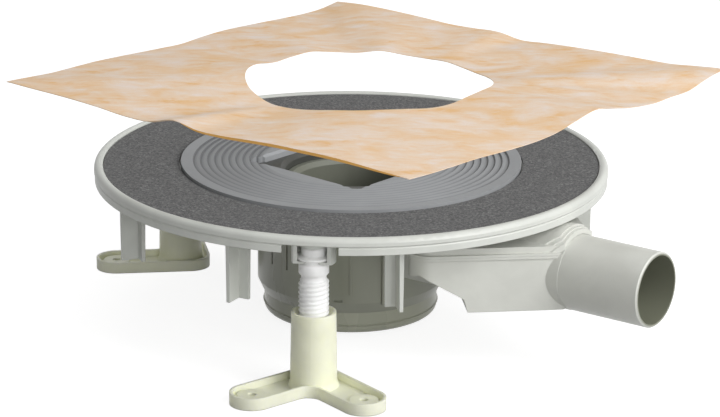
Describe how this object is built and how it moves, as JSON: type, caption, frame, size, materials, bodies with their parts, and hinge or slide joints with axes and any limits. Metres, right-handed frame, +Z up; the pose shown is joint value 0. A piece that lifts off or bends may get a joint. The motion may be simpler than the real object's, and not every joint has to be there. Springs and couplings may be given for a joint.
{
  "type": "floor drain",
  "caption": "Round floor drain with a felt-faced sealing flange, ribbed centre ring, bottle trap, side outlet spigot, levelling feet and a loose square sealing sheet.",
  "frame": {"origin": "on the drain's vertical axis at floor level, in the plane of the feet's undersides", "axes": "+Z up along the drain's axis, +X along the outlet spigot"},
  "size_m": [0.4451, 0.3879, 0.1721],
  "materials": {
    "flange_plastic": "pale grey moulded plastic, fine satin",
    "felt": "dark grey needled felt",
    "ring_plastic": "mid grey moulded plastic with concentric ribs",
    "pot_plastic": "grey moulded plastic, satin",
    "tube_plastic": "grey moulded plastic, satin",
    "channel_plastic": "pale grey moulded plastic, satin",
    "seal_rubber": "black rubber",
    "post_plastic": "white moulded plastic, threaded",
    "foot_plastic": "natural cream nylon, slightly translucent",
    "sheet_fleece": "peach fleece-faced membrane with paler streaks"
  },
  "bodies": {
    "drain": {"flange": "flange_plastic", "felt_ring": "felt", "ribbed_ring": "ring_plastic", "housing": "pot_plastic", "collar_seal": "seal_rubber", "lower_cup": "pot_plastic", "cup_seal": "seal_rubber", "trap_tube": "tube_plastic", "trap_seal": "seal_rubber", "outlet_channel": "channel_plastic", "channel_lid": "channel_plastic", "sealing_sheet": "sheet_fleece"},
    "post_1": {"threaded_post_1": "post_plastic"},
    "foot_1": {"foot_1": "foot_plastic"},
    "post_2": {"threaded_post_2": "post_plastic"},
    "foot_2": {"foot_2": "foot_plastic"},
    "post_3": {"threaded_post_3": "post_plastic"},
    "foot_3": {"foot_3": "foot_plastic"}
  },
  "joints": [
    {"name": "post_1_turn", "type": "hinge", "parent": "drain", "child": "post_1", "pos_m": [0.07274, -0.13913, 0.06], "axis": [0, 0, 1], "range_deg": [-2520, 1800]},
    {"name": "foot_1_height", "type": "slide", "parent": "drain", "child": "foot_1", "axis": [0, 0, 1], "range_m": [-0.015, 0.021]},
    {"name": "post_2_turn", "type": "hinge", "parent": "drain", "child": "post_2", "pos_m": [0.08413, 0.13256, 0.06], "axis": [0, 0, 1], "range_deg": [-2520, 1800]},
    {"name": "foot_2_height", "type": "slide", "parent": "drain", "child": "foot_2", "axis": [0, 0, 1], "range_m": [-0.015, 0.021]},
    {"name": "post_3_turn", "type": "hinge", "parent": "drain", "child": "post_3", "pos_m": [-0.15686, 0.00657, 0.06], "axis": [0, 0, 1], "range_deg": [-2520, 1800]},
    {"name": "foot_3_height", "type": "slide", "parent": "drain", "child": "foot_3", "axis": [0, 0, 1], "range_m": [-0.015, 0.021]}
  ],
  "couplings": [
    {"joint": "post_1_turn", "follows": "foot_1_height", "rad_per_m": -2094.4},
    {"joint": "post_2_turn", "follows": "foot_2_height", "rad_per_m": -2094.4},
    {"joint": "post_3_turn", "follows": "foot_3_height", "rad_per_m": -2094.4}
  ]
}
